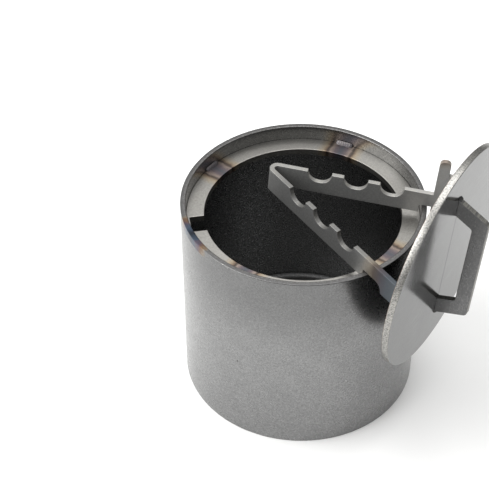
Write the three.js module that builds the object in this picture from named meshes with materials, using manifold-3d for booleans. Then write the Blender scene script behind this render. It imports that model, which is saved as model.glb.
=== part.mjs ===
// A lidded steel ashtray: a welded tube cup with a ledge ring inside its mouth, and a loose disc
// lid. The lid carries a V-shaped notched rest strip underneath and a flat grip plate on its face.
// It is modelled parked, hooked over the cup's rim by the strip's two saddles.
// Millimetres, +Z up. The origin is the centre of the cup's foot, and the parked lid hangs
// towards +X.

import * as THREE from 'three';
import { mergeVertices } from 'three/addons/utils/BufferGeometryUtils.js';
import Module from 'manifold-3d';

const wasm = await Module();
wasm.setup();

// ---------------------------------------------------------------- driving dimensions

// Cup
const TUBE_OUTER_DIAMETER = 88.9;
const TUBE_WALL = 2.0;
const TUBE_HEIGHT = 81.7;
const RIM_CHAMFER = 0.25;
const BASE_THICKNESS = 2.5;
const BASE_FILLET_LEG = 2.2;
const LEDGE_DEPTH = 5.7;
const LEDGE_SEAT_WIDTH = 6.55;
const LEDGE_THICKNESS = 2.5;
const SLOT_WIDTH = 7.8;
const SLOT_REACH = 5.2;
const SLOT_ANGLE = -138.0;
const LEDGE_WELD_ANGLES = [175.0, 98.5, -1.5, -92.0];
const LEDGE_WELD_LENGTH = 7.0;
const LEDGE_WELD_LEG = 1.3;

// Lid disc
const LID_SIDE_CLEARANCE = 0.75;
const LID_THICKNESS = 2.4;
const LID_CHAMFER = 0.2;
const LID_SAG_ANGLE = 4.6;

// Rest strip
const STRIP_THICKNESS = 1.8;
const STRIP_WIDTH = 9.3;
const STRIP_OFFSET = -0.75;
const STRIP_REACH = 69.5;
const STRIP_HALF_ANGLE = 20.56;
const BEND_INNER_RADIUS = 1.15;
const NOTCH_DIAMETER = 8.7;
const NOTCH_LAND = 4.45;
const NOTCH_TO_SADDLE = 6.2;
const FIRST_LAND_LEAST = 3.0;
const SADDLE_TO_DISC = 19.9;
const SADDLE_DEPTH = 3.7;
const NEAR_SADDLE_WIDTH = 9.3;
const NEAR_SADDLE_RADIUS = 3.2;
const FAR_SADDLE_PLAY = 2.3;
const LUG_SHELF_HEIGHT = 9.7;
const LUG_FINGER_HEIGHT = 15.9;
const LUG_FINGER_WIDTH = 4.0;
const LUG_ROOT_RADIUS = 0.8;
const STRIP_WELD_LEG = 2.0;

// Handle
const HANDLE_LENGTH = 54.4;
const HANDLE_HEIGHT = 11.9;
const HANDLE_THICKNESS = 2.0;
const HANDLE_SETBACK = 5.2;
const HANDLE_LEG = 7.0;
const HANDLE_BAR = 5.3;
const HANDLE_OUTER_RADIUS = 2.0;
const HANDLE_INNER_RADIUS = 1.4;
const HANDLE_WELD_LEG = 1.1;

// Clearances
const FIT_GAP = 0.2;
const REST_GAP = 0.3;

// A weld bead's middle stands this part of its leg away from the corner, along both faces.
const BEAD_FULLNESS = 0.6;
// How far a cutting tool runs past the face it breaks through.
const CUT_OVERRUN = 1.0;

const TURN_SEGMENTS = 96;
const CURVE_SEGMENTS = 12;

// ---------------------------------------------------------------- derived sizes

const tubeOuterRadius = TUBE_OUTER_DIAMETER / 2;
const tubeInnerRadius = tubeOuterRadius - TUBE_WALL;
const ledgeTop = TUBE_HEIGHT - LEDGE_DEPTH;
const ledgeInnerRadius = tubeInnerRadius - LEDGE_SEAT_WIDTH;
const lidRadius = tubeInnerRadius - LID_SIDE_CLEARANCE;
const sag = THREE.MathUtils.degToRad(LID_SAG_ANGLE);

const halfAngle = THREE.MathUtils.degToRad(STRIP_HALF_ANGLE);
const stripTop = STRIP_OFFSET + STRIP_WIDTH / 2;
const stripBottom = STRIP_OFFSET - STRIP_WIDTH / 2;
const saddleTop = stripBottom + SADDLE_DEPTH;
const bendOuterRadius = BEND_INNER_RADIUS + STRIP_THICKNESS;
const bendMidRadius = BEND_INNER_RADIUS + STRIP_THICKNESS / 2;
// The bend's centre lies inside the V, and the two arms' centre lines meet at the apex beyond it.
const bendCentreX = -LID_THICKNESS - STRIP_REACH + bendOuterRadius;
const apexX = bendCentreX - bendMidRadius / Math.sin(halfAngle);
const bendEnd = bendMidRadius / Math.tan(halfAngle);
const armLength = (-LID_THICKNESS - apexX) / Math.cos(halfAngle);
const saddleStart = armLength - SADDLE_TO_DISC;

const steel = (name, colour, roughness) => new THREE.MeshStandardMaterial({
  name, color: colour, roughness, metalness: 1.0,
});

const finishes = {
  tube: () => steel('raw_tube_steel', 0x8f8f8d, 0.5),
  plate: () => steel('cut_plate_steel', 0xa3a29e, 0.4),
  lid: () => steel('satin_plate_steel', 0xb4b4b2, 0.32),
  strip: () => steel('flat_bar_steel', 0x7d7c79, 0.42),
  weld: () => steel('tinted_weld_steel', 0x5f5a57, 0.45),
};

// ---------------------------------------------------------------- helpers

function toSolid(geometry) {
  const bare = geometry.clone();
  bare.deleteAttribute('normal');
  bare.deleteAttribute('uv');
  const merged = mergeVertices(bare, 1e-4);
  return new wasm.Manifold(new wasm.Mesh({
    numProp: 3,
    vertProperties: new Float32Array(merged.attributes.position.array),
    triVerts: new Uint32Array(merged.index.array),
  }));
}

function toGeometry(solid) {
  const mesh = solid.getMesh();
  const geometry = new THREE.BufferGeometry();
  geometry.setAttribute('position', new THREE.BufferAttribute(mesh.vertProperties, 3));
  geometry.setIndex(new THREE.BufferAttribute(mesh.triVerts, 1));
  geometry.computeVertexNormals();
  return geometry;
}

function node(name, geometry, material) {
  const mesh = new THREE.Mesh(geometry, material);
  mesh.name = name;
  return mesh;
}

// A plate of the given outline, centred on its own mid-plane, thick along Z.
function plate(outline, thickness) {
  const geometry = new THREE.ExtrudeGeometry(outline, {
    depth: thickness, bevelEnabled: false, curveSegments: CURVE_SEGMENTS,
  });
  return geometry.translate(0, 0, -thickness / 2);
}

// A closed profile of [radius, height] points, turned about the Z axis.
function turned(profile) {
  const points = [...profile, profile[0]].map(([radius, height]) => new THREE.Vector2(radius, height));
  return new THREE.LatheGeometry(points, TURN_SEGMENTS).rotateX(Math.PI / 2);
}

function polygon(points) {
  return new THREE.Shape(points.map(([x, y]) => new THREE.Vector2(x, y)));
}

// A weld bead's section in a corner, with a leg along each of the two faces that meet there.
function beadSection([x, y], [ux, uy], [vx, vy], leg) {
  const middle = BEAD_FULLNESS * leg;
  return [
    [x, y], [x + leg * ux, y + leg * uy],
    [x + middle * (ux + vx), y + middle * (uy + vy)], [x + leg * vx, y + leg * vy],
  ];
}

// A polygon with every corner rounded to the given radius.
function roundedOutline(points, radius) {
  const outline = new THREE.Shape();
  const corners = points.map(([x, y]) => new THREE.Vector2(x, y));
  corners.forEach((corner, i) => {
    const before = corners[(i + corners.length - 1) % corners.length];
    const after = corners[(i + 1) % corners.length];
    const back = before.clone().sub(corner).normalize();
    const ahead = after.clone().sub(corner).normalize();
    const half = Math.acos(back.dot(ahead)) / 2;
    const setback = radius / Math.tan(half);
    const enter = corner.clone().addScaledVector(back, setback);
    const centre = back.clone().add(ahead).normalize().multiplyScalar(radius / Math.sin(half)).add(corner);
    const leave = corner.clone().addScaledVector(ahead, setback);
    const from = Math.atan2(enter.y - centre.y, enter.x - centre.x);
    const to = Math.atan2(leave.y - centre.y, leave.x - centre.x);
    const turnsRight = back.x * ahead.y - back.y * ahead.x > 0;
    if (i === 0) outline.moveTo(enter.x, enter.y);
    else outline.lineTo(enter.x, enter.y);
    outline.absarc(centre.x, centre.y, radius, from, to, turnsRight);
  });
  outline.closePath();
  return outline;
}

// ---------------------------------------------------------------- cup

function tubeWall() {
  const r0 = tubeInnerRadius;
  const r1 = tubeOuterRadius;
  const c = RIM_CHAMFER;
  return turned([
    [r0 + c, 0], [r1 - c, 0], [r1, c],
    [r1, TUBE_HEIGHT - c], [r1 - c, TUBE_HEIGHT], [r0 + c, TUBE_HEIGHT],
    [r0, TUBE_HEIGHT - c], [r0, c],
  ]);
}

function basePlate() {
  const outline = new THREE.Shape().absarc(0, 0, tubeInnerRadius - FIT_GAP, 0, 2 * Math.PI, false);
  const geometry = new THREE.ExtrudeGeometry(outline, {
    depth: BASE_THICKNESS, bevelEnabled: false, curveSegments: TURN_SEGMENTS,
  });
  return geometry;
}

// A fillet in the corner between the tube's inner wall and a flat face at the given height.
function cornerFillet(height, leg) {
  return turned(beadSection([tubeInnerRadius - FIT_GAP, height + FIT_GAP], [0, 1], [-1, 0], leg));
}

function ledgeRing() {
  const outline = new THREE.Shape().absarc(0, 0, tubeInnerRadius - FIT_GAP, 0, 2 * Math.PI, false);
  const halfSlot = Math.asin(SLOT_WIDTH / 2 / ledgeInnerRadius);
  const slotEnd = ledgeInnerRadius + SLOT_REACH;
  const opening = new THREE.Path();
  opening.absarc(0, 0, ledgeInnerRadius, halfSlot, 2 * Math.PI - halfSlot, false);
  opening.lineTo(slotEnd, -SLOT_WIDTH / 2);
  opening.lineTo(slotEnd, SLOT_WIDTH / 2);
  opening.closePath();
  outline.holes.push(opening);
  const geometry = new THREE.ExtrudeGeometry(outline, {
    depth: LEDGE_THICKNESS, bevelEnabled: false, curveSegments: TURN_SEGMENTS,
  });
  return geometry
    .rotateZ(THREE.MathUtils.degToRad(SLOT_ANGLE))
    .translate(0, 0, ledgeTop - LEDGE_THICKNESS);
}

function ledgeWeld(angleDegrees) {
  const halfTurn = LEDGE_WELD_LENGTH / 2 / tubeInnerRadius;
  const reach = tubeOuterRadius + CUT_OVERRUN;
  const wedge = plate(polygon([
    [0, 0],
    [reach * Math.cos(halfTurn), -reach * Math.sin(halfTurn)],
    [reach * Math.cos(halfTurn), reach * Math.sin(halfTurn)],
  ]), 3 * TUBE_HEIGHT);
  wedge.rotateZ(THREE.MathUtils.degToRad(angleDegrees));
  return toGeometry(toSolid(cornerFillet(ledgeTop, LEDGE_WELD_LEG)).intersect(toSolid(wedge)));
}

function buildCup() {
  const cup = new THREE.Group();
  cup.add(node('tube_wall', tubeWall(), finishes.tube()));
  cup.add(node('base_plate', basePlate(), finishes.plate()));
  cup.add(node('base_weld_seam', cornerFillet(BASE_THICKNESS, BASE_FILLET_LEG), finishes.weld()));
  cup.add(node('ledge_ring', ledgeRing(), finishes.plate()));
  LEDGE_WELD_ANGLES.forEach((angle, i) => {
    cup.add(node(`ledge_weld_${i + 1}`, ledgeWeld(angle), finishes.weld()));
  });
  return cup;
}

// ---------------------------------------------------------------- lid
// The lid's own frame: X out of its face, Y across, Z up its face, origin at the face's centre.

function lidDisc() {
  const c = LID_CHAMFER;
  const profile = [
    [0, -LID_THICKNESS], [lidRadius - c, -LID_THICKNESS], [lidRadius, c - LID_THICKNESS],
    [lidRadius, -c], [lidRadius - c, 0], [0, 0],
  ].map(([radius, height]) => new THREE.Vector2(radius, height));
  return new THREE.LatheGeometry(profile, TURN_SEGMENTS).rotateZ(-Math.PI / 2);
}

// The V seen along Z: two straight arms that run past the disc, joined by the bend at the tip.
function stripOutline() {
  const far = Math.PI / 2 + halfAngle;
  const near = 2 * Math.PI - far;
  const past = armLength + STRIP_THICKNESS;
  const armPoint = (side, along, off) => [
    apexX + along * Math.cos(halfAngle) - off * Math.sin(halfAngle),
    side * (along * Math.sin(halfAngle) + off * Math.cos(halfAngle)),
  ];
  const half = STRIP_THICKNESS / 2;
  const outline = new THREE.Shape();
  outline.moveTo(...armPoint(1, past, half));
  outline.absarc(bendCentreX, 0, bendOuterRadius, far, near, false);
  outline.lineTo(...armPoint(-1, past, half));
  outline.lineTo(...armPoint(-1, past, -half));
  outline.absarc(bendCentreX, 0, BEND_INNER_RADIUS, near, far, true);
  outline.lineTo(...armPoint(1, past, -half));
  outline.closePath();
  return outline;
}

// Stands a plate drawn in an arm's own plane, X along the arm from the apex and Y up, on that arm.
function onArm(side, outline, thickness) {
  const along = new THREE.Vector3(Math.cos(halfAngle), side * Math.sin(halfAngle), 0);
  const up = new THREE.Vector3(0, 0, 1);
  const across = along.clone().cross(up);
  const place = new THREE.Matrix4().makeBasis(along, up, across).setPosition(apexX, 0, 0);
  return toSolid(plate(outline, thickness).applyMatrix4(place));
}

// The notches are set out from the saddle towards the tip, as many as the straight arm has room for.
function notchCentres() {
  const pitch = NOTCH_DIAMETER + NOTCH_LAND;
  const last = saddleStart - NOTCH_TO_SADDLE - NOTCH_DIAMETER / 2;
  const room = last - NOTCH_DIAMETER / 2 - bendEnd - FIRST_LAND_LEAST;
  const count = 1 + Math.floor(room / pitch);
  return Array.from({ length: count }, (_, i) => last - i * pitch);
}

function notchOutline(centre) {
  return new THREE.Shape().absarc(centre, stripTop, NOTCH_DIAMETER / 2, 0, 2 * Math.PI, false);
}

function nearSaddleOutline() {
  const end = saddleStart + NEAR_SADDLE_WIDTH;
  const below = stripBottom - CUT_OVERRUN;
  const radius = Math.min(NEAR_SADDLE_RADIUS, SADDLE_DEPTH);
  const outline = new THREE.Shape();
  outline.moveTo(saddleStart, below);
  outline.lineTo(end, below);
  outline.absarc(end - radius, saddleTop - radius, radius, 0, Math.PI / 2, false);
  outline.lineTo(saddleStart, saddleTop);
  outline.closePath();
  return outline;
}

// The far saddle is a plain slot, the tube's wall and a little play wide.
const farSaddleWidth = TUBE_WALL + FAR_SADDLE_PLAY;

function farSaddleOutline() {
  const end = saddleStart + farSaddleWidth;
  const below = stripBottom - CUT_OVERRUN;
  return polygon([[saddleStart, below], [end, below], [end, saddleTop], [saddleStart, saddleTop]]);
}

// An upright lug at the far arm's end: a low shelf by the disc, and a round-ended finger before it.
function lugOutline() {
  const start = saddleStart + farSaddleWidth;
  const fingerHalf = LUG_FINGER_WIDTH / 2;
  const fingerTop = stripTop + LUG_FINGER_HEIGHT;
  const shelf = stripTop + LUG_SHELF_HEIGHT;
  const root = start + LUG_FINGER_WIDTH + LUG_ROOT_RADIUS;
  const past = armLength + STRIP_THICKNESS;
  const outline = new THREE.Shape();
  outline.moveTo(start, STRIP_OFFSET);
  outline.lineTo(past, STRIP_OFFSET);
  outline.lineTo(past, shelf);
  outline.absarc(root, shelf + LUG_ROOT_RADIUS, LUG_ROOT_RADIUS, 1.5 * Math.PI, Math.PI, true);
  outline.absarc(start + fingerHalf, fingerTop - fingerHalf, fingerHalf, 0, Math.PI, false);
  outline.closePath();
  return outline;
}

function restStrip() {
  const cutterThickness = 3 * STRIP_THICKNESS;
  const body = new THREE.ExtrudeGeometry(stripOutline(), {
    depth: STRIP_WIDTH, bevelEnabled: false, curveSegments: CURVE_SEGMENTS,
  });
  let strip = toSolid(body.translate(0, 0, stripBottom));
  strip = strip.add(onArm(1, lugOutline(), STRIP_THICKNESS));
  for (const side of [1, -1]) {
    for (const centre of notchCentres()) {
      strip = strip.subtract(onArm(side, notchOutline(centre), cutterThickness));
    }
  }
  strip = strip.subtract(onArm(1, farSaddleOutline(), cutterThickness));
  strip = strip.subtract(onArm(-1, nearSaddleOutline(), cutterThickness));
  const block = new THREE.BoxGeometry(armLength, 2 * armLength, 2 * armLength);
  block.translate(armLength / 2 - LID_THICKNESS - REST_GAP, 0, 0);
  return toGeometry(strip.subtract(toSolid(block)));
}

// A weld bead in the acute corner between an arm's inner face and the disc's back.
function stripWeld(side) {
  const innerFace = side * (armLength * Math.sin(halfAngle) - STRIP_THICKNESS / 2 / Math.cos(halfAngle));
  const startY = innerFace - side * REST_GAP * (1 + Math.tan(halfAngle));
  const section = beadSection(
    [-LID_THICKNESS - REST_GAP, startY], [-Math.cos(halfAngle), -side * Math.sin(halfAngle)],
    [0, -side], STRIP_WELD_LEG,
  );
  return plate(polygon(section), STRIP_WIDTH - 2 * STRIP_WELD_LEG).translate(0, 0, STRIP_OFFSET);
}

// The grip plate's outline is a trapezoid standing on the disc, with an opening of the same slant.
// Both outlines run on below the foot line and are cut off there, so only their outer corners round.
function handlePlate() {
  const slant = HANDLE_SETBACK / HANDLE_HEIGHT;
  const trapezoid = (footHalf, height, depth) => {
    const low = footHalf + depth * slant;
    const high = footHalf - height * slant;
    return [[-depth, -low], [height, -high], [height, high], [-depth, low]];
  };
  const half = HANDLE_LENGTH / 2;
  const blankCorners = trapezoid(half, HANDLE_HEIGHT, HANDLE_HEIGHT);
  const openingCorners = trapezoid(half - HANDLE_LEG, HANDLE_HEIGHT - HANDLE_BAR, 2 * HANDLE_HEIGHT);
  const blank = toSolid(plate(roundedOutline(blankCorners, HANDLE_OUTER_RADIUS), HANDLE_THICKNESS));
  const hole = toSolid(plate(roundedOutline(openingCorners, HANDLE_INNER_RADIUS), 2 * HANDLE_THICKNESS));
  const block = new THREE.BoxGeometry(HANDLE_LENGTH, 2 * HANDLE_LENGTH, 2 * HANDLE_LENGTH);
  block.translate(REST_GAP - HANDLE_LENGTH / 2, 0, 0);
  const shaped = blank.subtract(hole).subtract(toSolid(block));
  return toGeometry(shaped).rotateX(Math.PI / 2);
}

// A small bead at one end of the handle's foot, in the corner between its sloping end and the disc.
function handleWeld(side) {
  const slope = Math.atan2(HANDLE_SETBACK, HANDLE_HEIGHT);
  const section = beadSection(
    [REST_GAP, side * (HANDLE_LENGTH / 2 + FIT_GAP)], [0, side],
    [Math.cos(slope), -side * Math.sin(slope)], HANDLE_WELD_LEG,
  );
  return plate(polygon(section), HANDLE_THICKNESS).rotateX(Math.PI / 2);
}

// Where the parked lid sits: its saddles rest on the rim, and their inner shoulders stand one
// clearance inside the tube's inner wall.
function parkedPosition() {
  const onArmAt = (along) => apexX + along * Math.cos(halfAngle);
  const shoulderAcross = saddleStart * Math.sin(halfAngle) + STRIP_THICKNESS / 2;
  const shoulderAlong = onArmAt(saddleStart) * Math.cos(sag) + saddleTop * Math.sin(sag);
  const wall = tubeInnerRadius - REST_GAP;
  const x = Math.sqrt(wall ** 2 - shoulderAcross ** 2) - shoulderAlong;
  const rimAlong = onArmAt(saddleStart + REST_GAP + TUBE_WALL / Math.cos(halfAngle));
  const z = TUBE_HEIGHT + REST_GAP + rimAlong * Math.sin(sag) - saddleTop * Math.cos(sag);
  return new THREE.Vector3(x, 0, z);
}

function buildLid() {
  const lid = new THREE.Group();
  lid.add(node('lid_disc', lidDisc(), finishes.lid()));
  lid.add(node('rest_strip', restStrip(), finishes.strip()));
  lid.add(node('strip_weld_far', stripWeld(1), finishes.weld()));
  lid.add(node('strip_weld_near', stripWeld(-1), finishes.weld()));
  lid.add(node('handle_plate', handlePlate(), finishes.plate()));
  lid.add(node('handle_weld_upper', handleWeld(1), finishes.weld()));
  lid.add(node('handle_weld_lower', handleWeld(-1), finishes.weld()));
  lid.position.copy(parkedPosition());
  lid.rotation.y = sag;
  return lid;
}

const ashtray = new THREE.Group();
ashtray.add(buildCup());
ashtray.add(buildLid());

export default ashtray;
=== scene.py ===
"""A welded steel ashtray with a lift-off lid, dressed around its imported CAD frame."""

import logging
import math
from collections.abc import Callable, Sequence
from dataclasses import dataclass, field
from enum import Enum

import bmesh
import bpy
import numpy as np
from mathutils import Matrix, Vector
from mathutils.geometry import delaunay_2d_cdt


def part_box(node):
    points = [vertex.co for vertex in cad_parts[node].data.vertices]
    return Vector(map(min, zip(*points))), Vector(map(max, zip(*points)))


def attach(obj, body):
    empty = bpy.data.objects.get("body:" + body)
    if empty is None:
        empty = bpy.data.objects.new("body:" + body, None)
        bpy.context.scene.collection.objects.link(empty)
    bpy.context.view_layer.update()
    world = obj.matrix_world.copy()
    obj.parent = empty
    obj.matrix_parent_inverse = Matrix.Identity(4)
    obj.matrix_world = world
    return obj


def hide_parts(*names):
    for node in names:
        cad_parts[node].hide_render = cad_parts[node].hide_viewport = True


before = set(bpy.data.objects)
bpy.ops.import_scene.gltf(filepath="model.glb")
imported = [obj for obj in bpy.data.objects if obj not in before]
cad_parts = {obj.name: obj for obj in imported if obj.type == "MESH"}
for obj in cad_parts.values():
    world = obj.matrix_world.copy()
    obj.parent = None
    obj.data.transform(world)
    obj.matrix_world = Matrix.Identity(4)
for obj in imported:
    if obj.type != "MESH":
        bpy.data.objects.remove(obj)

logging.basicConfig(level=logging.INFO, format="%(message)s")
LOG = logging.getLogger("ashtray")

MM = 0.001
TURN_STEPS = 256
BEAD_FILL = 0.93  # share of a bead's leg that its surface reaches
RIPPLE_DEPTH = 0.10  # share of the leg that a ripple rises
RIPPLE_LAG = 0.45  # how far a ripple lags at the bead's middle, in ripples
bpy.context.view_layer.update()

Socket = bpy.types.NodeSocket
Tree = bpy.types.NodeTree
Inputs = dict[str | int, object] | Sequence[object]
Stop = tuple[float, str, float]
Place = Callable[[np.ndarray], np.ndarray]
Corner = tuple[float, float, float]


class Body(Enum):
    """The rigid bodies of the frame that a piece can move with."""

    CUP = "cup"
    LID = "lid"


class Slot(Enum):
    """The record's material slots."""

    TUBE = "raw_tube"
    PLATE = "cut_plate"
    LID = "satin_plate"
    STRIP = "flat_bar"
    WELD = "weld_bead"


class Oxide(Enum):
    """The colours that heat leaves on steel, from the coolest to the hottest."""

    STRAW = "a8926e"
    BROWN = "6b5038"
    PURPLE = "54444e"
    BLUE = "3f4c5c"


# ---------------------------------------------------------------- colour and nodes


def linear(hex_colour: str) -> tuple[float, float, float, float]:
    """Turns an sRGB hex colour into linear RGBA.

    Args:
        hex_colour: six hex digits, such as "8f8f8d".

    Returns:
        Linear red, green, blue and an alpha of 1.
    """
    srgb = np.array([int(hex_colour[i : i + 2], 16) for i in (0, 2, 4)]) / 255.0
    rgb = np.where(srgb <= 0.04045, srgb / 12.92, ((srgb + 0.055) / 1.055) ** 2.4)
    return (*map(float, rgb), 1.0)


def add_node(
    tree: Tree,
    kind: str,
    inputs: Inputs = (),
    output: str | None = None,
    stops: Sequence[Stop] = (),
    **settings: object,
) -> Socket:
    """Adds one node with its settings, its input values or links, and its ramp's stops.

    Args:
        tree: the node tree that gets the node.
        kind: the node's type, without its "ShaderNode" prefix.
        inputs: a value or another node's socket for each input, in order or by name.
        output: the output to return, or None for the first one in use.
        stops: position, sRGB hex colour and cover of each stop, for a colour ramp.
        **settings: properties of the node.

    Returns:
        The node's output socket. Its other outputs are on the socket's node.
    """
    made = tree.nodes.new(f"ShaderNode{kind}")
    for name, value in settings.items():
        setattr(made, name, value)
    for key, value in inputs.items() if isinstance(inputs, dict) else enumerate(inputs):
        if isinstance(value, Socket):
            tree.links.new(value, made.inputs[key])
        else:
            made.inputs[key].default_value = value
    if stops:
        ramp = made.color_ramp.elements
        while len(ramp) < len(stops):
            ramp.new(1.0)
        for element, (position, colour, cover) in zip(ramp, stops):
            element.position, element.color = position, (*linear(colour)[:3], cover)
    return made.outputs[output] if output else next(socket for socket in made.outputs if socket.enabled)


def per_mm(size_mm: float) -> float:
    """The scale that gives a pattern on metre coordinates features of size_mm millimetres."""
    return 1.0 / (size_mm * MM)


# ---------------------------------------------------------------- mesh helpers


def grid_faces(rows: int, columns: int, round_rows: bool, round_columns: bool) -> np.ndarray:
    """Quads between neighbours of a grid whose point (i, j) has index i * columns + j.

    Args:
        rows: how many rows the grid has.
        columns: how many points each row has.
        round_rows: whether the last row joins the first.
        round_columns: whether each row's last point joins its first.

    Returns:
        One row of four indices for each quad.
    """
    i = np.arange(rows if round_rows else rows - 1)[:, None]
    j = np.arange(columns if round_columns else columns - 1)[None, :]
    below, beside = (i + 1) % rows, (j + 1) % columns
    quads = [i * columns + j, i * columns + beside, below * columns + beside, below * columns + j]
    return np.stack(np.broadcast_arrays(*quads), axis=-1).reshape(-1, 4)


@dataclass
class Shell:
    """A closed surface: points in metres, faces, and a number at each point that materials read."""

    points: np.ndarray
    faces: list[np.ndarray]
    marks: dict[str, np.ndarray] = field(default_factory=dict)

    def to_piece(self, name: str, body: Body, slot: Slot, *replaced: str) -> bpy.types.Object:
        """Makes the shell an object at the origin that rides on a body.

        Args:
            name: the piece's name.
            body: the body that it moves with.
            slot: the record's material slot; not used.
            *replaced: the CAD nodes that it stands for.

        Returns:
            The finished object, with its doubles merged and its faces outwards.
        """
        mesh = bpy.data.meshes.new(name)
        faces = [row for block in self.faces for row in block.tolist()]
        mesh.from_pydata(self.points.tolist(), [], faces)
        for mark, values in self.marks.items():
            layer = mesh.attributes.new(mark, "FLOAT", "POINT")
            layer.data.foreach_set("value", values.astype(np.float32))
        tidy = bmesh.new()
        tidy.from_mesh(mesh)
        bmesh.ops.remove_doubles(tidy, verts=tidy.verts, dist=2e-6)
        bmesh.ops.dissolve_degenerate(tidy, edges=tidy.edges, dist=1e-7)
        bmesh.ops.recalc_face_normals(tidy, faces=tidy.faces)
        tidy.to_mesh(mesh)
        tidy.free()
        mesh.shade_smooth()
        mesh.set_sharp_from_angle(angle=math.radians(40.0))
        piece = bpy.data.objects.new(name, mesh)
        bpy.context.scene.collection.objects.link(piece)
        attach(piece, body.value)
        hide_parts(*replaced)
        LOG.info("%s: %d faces", name, len(mesh.polygons))
        return piece


def rounded_path(corners: Sequence[Corner], spacing: float) -> np.ndarray:
    """A closed outline with its corners rounded and its straight runs divided.

    Each corner of radius r is cut r / tan(half its angle) before and after it, and the arc
    between the two cuts is centred r / sin(half its angle) along the corner's bisector.

    Args:
        corners: x, y and radius of each corner, anticlockwise round the material.
        spacing: the longest step between points.

    Returns:
        The outline's points, without repeating the first.
    """
    table = np.array(corners, float)
    at, radius = table[:, :2], table[:, 2]
    back, ahead = np.roll(at, 1, axis=0) - at, np.roll(at, -1, axis=0) - at
    back /= np.linalg.norm(back, axis=1)[:, None]
    ahead /= np.linalg.norm(ahead, axis=1)[:, None]
    half = np.arccos(np.clip((back * ahead).sum(1), -1.0, 1.0)) / 2
    cut = radius / np.tan(half)
    enter, leave = at + back * cut[:, None], at + ahead * cut[:, None]
    middle = back + ahead
    middle /= np.maximum(np.linalg.norm(middle, axis=1), 1e-9)[:, None]
    centre = at + middle * (radius / np.sin(half))[:, None]
    runs: list[np.ndarray] = []
    for k in range(len(table)):
        if radius[k] > 0:
            first, last = enter[k] - centre[k], leave[k] - centre[k]
            start = math.atan2(first[1], first[0])
            turn = math.atan2(first[0] * last[1] - first[1] * last[0], first @ last)
            steps = max(3, math.ceil(abs(turn) / math.radians(9.0)))
            angle = start + turn * np.linspace(0.0, 1.0, steps + 1)
            runs.append(centre[k] + radius[k] * np.stack([np.cos(angle), np.sin(angle)], 1))
        else:
            runs.append(at[k][None])
        following = enter[(k + 1) % len(table)]
        steps = math.ceil(np.linalg.norm(following - leave[k]) / spacing)
        if steps > 1:
            share = np.linspace(0.0, 1.0, steps + 1)[1:-1, None]
            runs.append(leave[k] + (following - leave[k]) * share)
    path = np.concatenate(runs)
    step = np.linalg.norm(path - np.roll(path, 1, axis=0), axis=1)
    return path[step > 1e-4]


def inset(loop: np.ndarray, distance: float) -> np.ndarray:
    """Moves a closed outline to its left, into the material.

    A corner between edges with left normals n1 and n2 moves by
    distance * (n1 + n2) / (1 + n1 . n2).

    Args:
        loop: the outline's points.
        distance: how far each edge moves.

    Returns:
        The moved outline.
    """
    edge = np.roll(loop, -1, axis=0) - loop
    edge /= np.linalg.norm(edge, axis=1)[:, None]
    after = np.stack([-edge[:, 1], edge[:, 0]], axis=1)
    before = np.roll(after, 1, axis=0)
    return loop + distance * (before + after) / (1 + (before * after).sum(1))[:, None]


def encloses(loops: Sequence[np.ndarray], points: np.ndarray) -> np.ndarray:
    """Says which points lie in the material of some outlines.

    A ray from the point towards +X crosses the outlines an odd number of times if it does.

    Args:
        loops: the outlines' points.
        points: the points to test.

    Returns:
        True for each point in the material.
    """
    start = np.concatenate(loops)
    end = np.concatenate([np.roll(loop, -1, axis=0) for loop in loops])
    x, y = points[:, :1], points[:, 1:]
    spans = (start[:, 1] > y) != (end[:, 1] > y)
    rise = np.where(end[:, 1] == start[:, 1], 1.0, end[:, 1] - start[:, 1])
    meets = start[:, 0] + (y - start[:, 1]) / rise * (end[:, 0] - start[:, 0])
    return (spans & (meets > x)).sum(axis=1) % 2 == 1


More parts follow.
